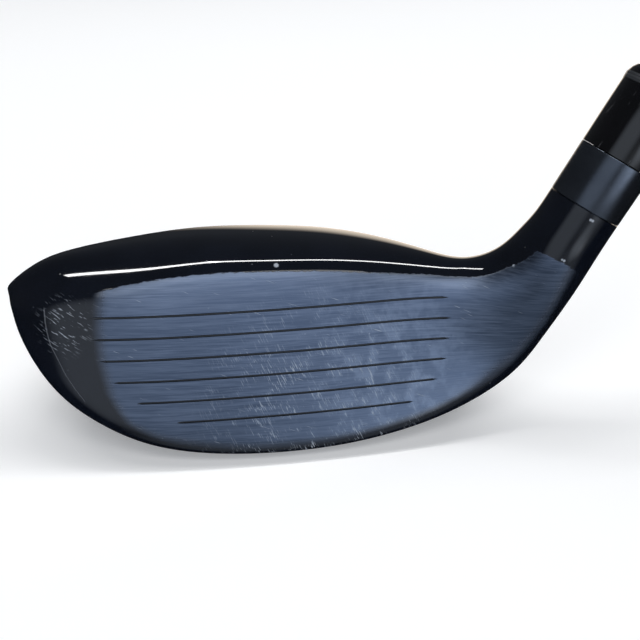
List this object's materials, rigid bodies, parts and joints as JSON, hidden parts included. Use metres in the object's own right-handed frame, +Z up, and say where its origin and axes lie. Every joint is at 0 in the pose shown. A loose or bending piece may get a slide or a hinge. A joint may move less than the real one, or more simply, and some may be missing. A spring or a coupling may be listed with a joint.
{
  "type": "hybrid golf club",
  "caption": "Right-handed hybrid golf club at address: hollow steel head with a grooved lofted face, adjustable hosel sleeve, ferrule, tapered shaft and rubber grip.",
  "frame": {"origin": "the point of the sole that touches the ground when the club stands at address", "axes": "+Z up, -Y the way the face looks (the target side), +X from toe to heel, with the shaft leaning to +X"},
  "size_m": [0.5866, 0.0644, 0.9006],
  "materials": {
    "head_black": "cast stainless steel, gloss black coating, brushed at the heel",
    "face_brushed": "dark blue-grey coating over fine horizontal brushing",
    "crown_gloss": "mirror-gloss black paint",
    "glue": "cured hot-melt glue",
    "weight_steel": "turned steel, satin",
    "screw_dark": "black oxide steel",
    "screw_steel": "plated steel",
    "retainer": "moulded nylon",
    "sleeve_grey": "dark grey anodised aluminium, fine turned grain",
    "ferrule_black": "polished black acetate",
    "ring_silver": "polished trim ring",
    "epoxy": "cured adhesive",
    "brass": "turned brass",
    "shaft_graphite": "painted graphite, clear coat",
    "tape": "paper grip tape",
    "grip_rubber": "matt moulded rubber with a fine tread",
    "cap_rubber": "harder moulded rubber, satin"
  },
  "bodies": {
    "head": {"head_body": "head_black", "face_plate": "face_brushed", "crown_plate": "crown_gloss", "damping_pad": "glue", "screw_washer": "screw_steel"},
    "screw": {"hosel_screw": "screw_steel", "screw_retainer": "retainer"},
    "shaft_assembly": {"loft_sleeve": "sleeve_grey", "ferrule": "ferrule_black", "ferrule_ring": "ring_silver", "tip_bond": "epoxy", "tip_plug": "brass", "shaft": "shaft_graphite", "grip_tape": "tape", "grip": "grip_rubber", "grip_cap": "cap_rubber"},
    "weight": {"sole_weight": "weight_steel"},
    "weight_fixing": {"weight_screw": "screw_dark"}
  },
  "joints": [
    {"name": "hosel_screw_turn", "type": "hinge", "parent": "head", "child": "screw", "pos_m": [0.03295, -0.0053, 0], "axis": [-0.4818, 0, -0.8763], "range_deg": [0, 2880]},
    {"name": "shaft_release", "type": "slide", "parent": "head", "child": "shaft_assembly", "axis": [0.4818, 0, 0.8763], "range_m": [0, 0.0064]},
    {"name": "weight_screw_turn", "type": "hinge", "parent": "weight", "child": "weight_fixing", "pos_m": [-0.00001, 0.02267, 0.00194], "axis": [0, 0.1675, -0.9859], "range_deg": [0, 3240]},
    {"name": "weight_release", "type": "slide", "parent": "head", "child": "weight", "axis": [0, 0.1675, -0.9859], "range_m": [0, 0.0063]}
  ],
  "couplings": [
    {"joint": "shaft_release", "follows": "hosel_screw_turn", "m_per_rad": 0.00012732},
    {"joint": "weight_release", "follows": "weight_screw_turn", "m_per_rad": 0.00011141}
  ]
}
